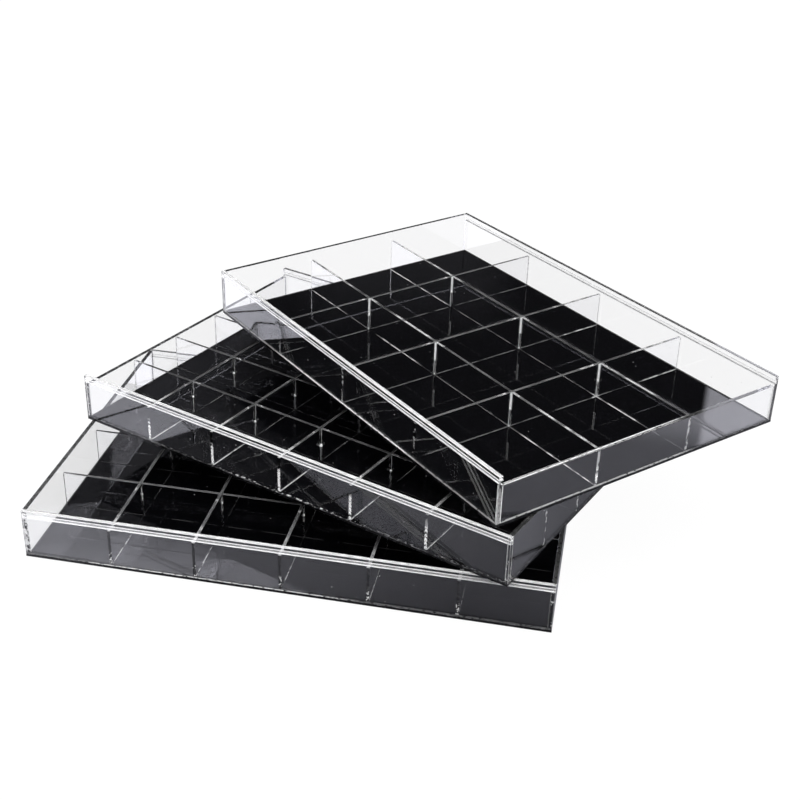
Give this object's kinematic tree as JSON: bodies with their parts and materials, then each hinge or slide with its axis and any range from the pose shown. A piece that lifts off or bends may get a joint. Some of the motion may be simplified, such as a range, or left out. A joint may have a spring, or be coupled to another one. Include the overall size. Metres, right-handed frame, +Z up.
{
  "type": "stacked jewellery trays",
  "caption": "Open clear-walled trays with black base plates and divider grids, stacked and fanned, for sorting and showing small jewellery.",
  "frame": {"origin": "centre of the bottom tray's underside, on the surface that the stack stands on", "axes": "+Z up; +X along the bottom tray's length towards its low end wall; +Y along its width"},
  "size_m": [0.4832, 0.4254, 0.108],
  "materials": {
    "black_acrylic": "gloss",
    "clear_acrylic": "gloss"
  },
  "bodies": {
    "bottom_tray": {"bottom_base_plate": "black_acrylic", "bottom_right_wall": "clear_acrylic", "bottom_left_wall": "clear_acrylic", "bottom_high_end_wall": "clear_acrylic", "bottom_low_end_wall": "clear_acrylic", "bottom_cross_divider_1": "clear_acrylic", "bottom_cross_divider_2": "clear_acrylic", "bottom_cross_divider_3": "clear_acrylic", "bottom_cross_divider_4": "clear_acrylic", "bottom_cross_divider_5": "clear_acrylic", "bottom_long_divider_1": "clear_acrylic", "bottom_long_divider_2": "clear_acrylic", "bottom_long_divider_3": "clear_acrylic"},
    "middle_tray": {"middle_base_plate": "black_acrylic", "middle_right_wall": "clear_acrylic", "middle_left_wall": "clear_acrylic", "middle_high_end_wall": "clear_acrylic", "middle_low_end_wall": "clear_acrylic", "middle_cross_divider_1": "clear_acrylic", "middle_cross_divider_2": "clear_acrylic", "middle_cross_divider_3": "clear_acrylic", "middle_cross_divider_4": "clear_acrylic", "middle_cross_divider_5": "clear_acrylic", "middle_long_divider_1": "clear_acrylic", "middle_long_divider_2": "clear_acrylic", "middle_long_divider_3": "clear_acrylic", "middle_long_divider_4": "clear_acrylic"},
    "top_tray": {"top_base_plate": "black_acrylic", "top_right_wall": "clear_acrylic", "top_left_wall": "clear_acrylic", "top_high_end_wall": "clear_acrylic", "top_low_end_wall": "clear_acrylic", "top_cross_divider_1": "clear_acrylic", "top_cross_divider_2": "clear_acrylic", "top_cross_divider_3": "clear_acrylic", "top_long_divider_1": "clear_acrylic", "top_long_divider_2": "clear_acrylic"}
  },
  "joints": [
    {"name": "middle_tray_lift", "type": "slide", "parent": "bottom_tray", "child": "middle_tray", "axis": [0, 0, 1], "range_m": [0, 0.1]},
    {"name": "top_tray_lift", "type": "slide", "parent": "middle_tray", "child": "top_tray", "axis": [0, 0, 1], "range_m": [0, 0.1]}
  ]
}
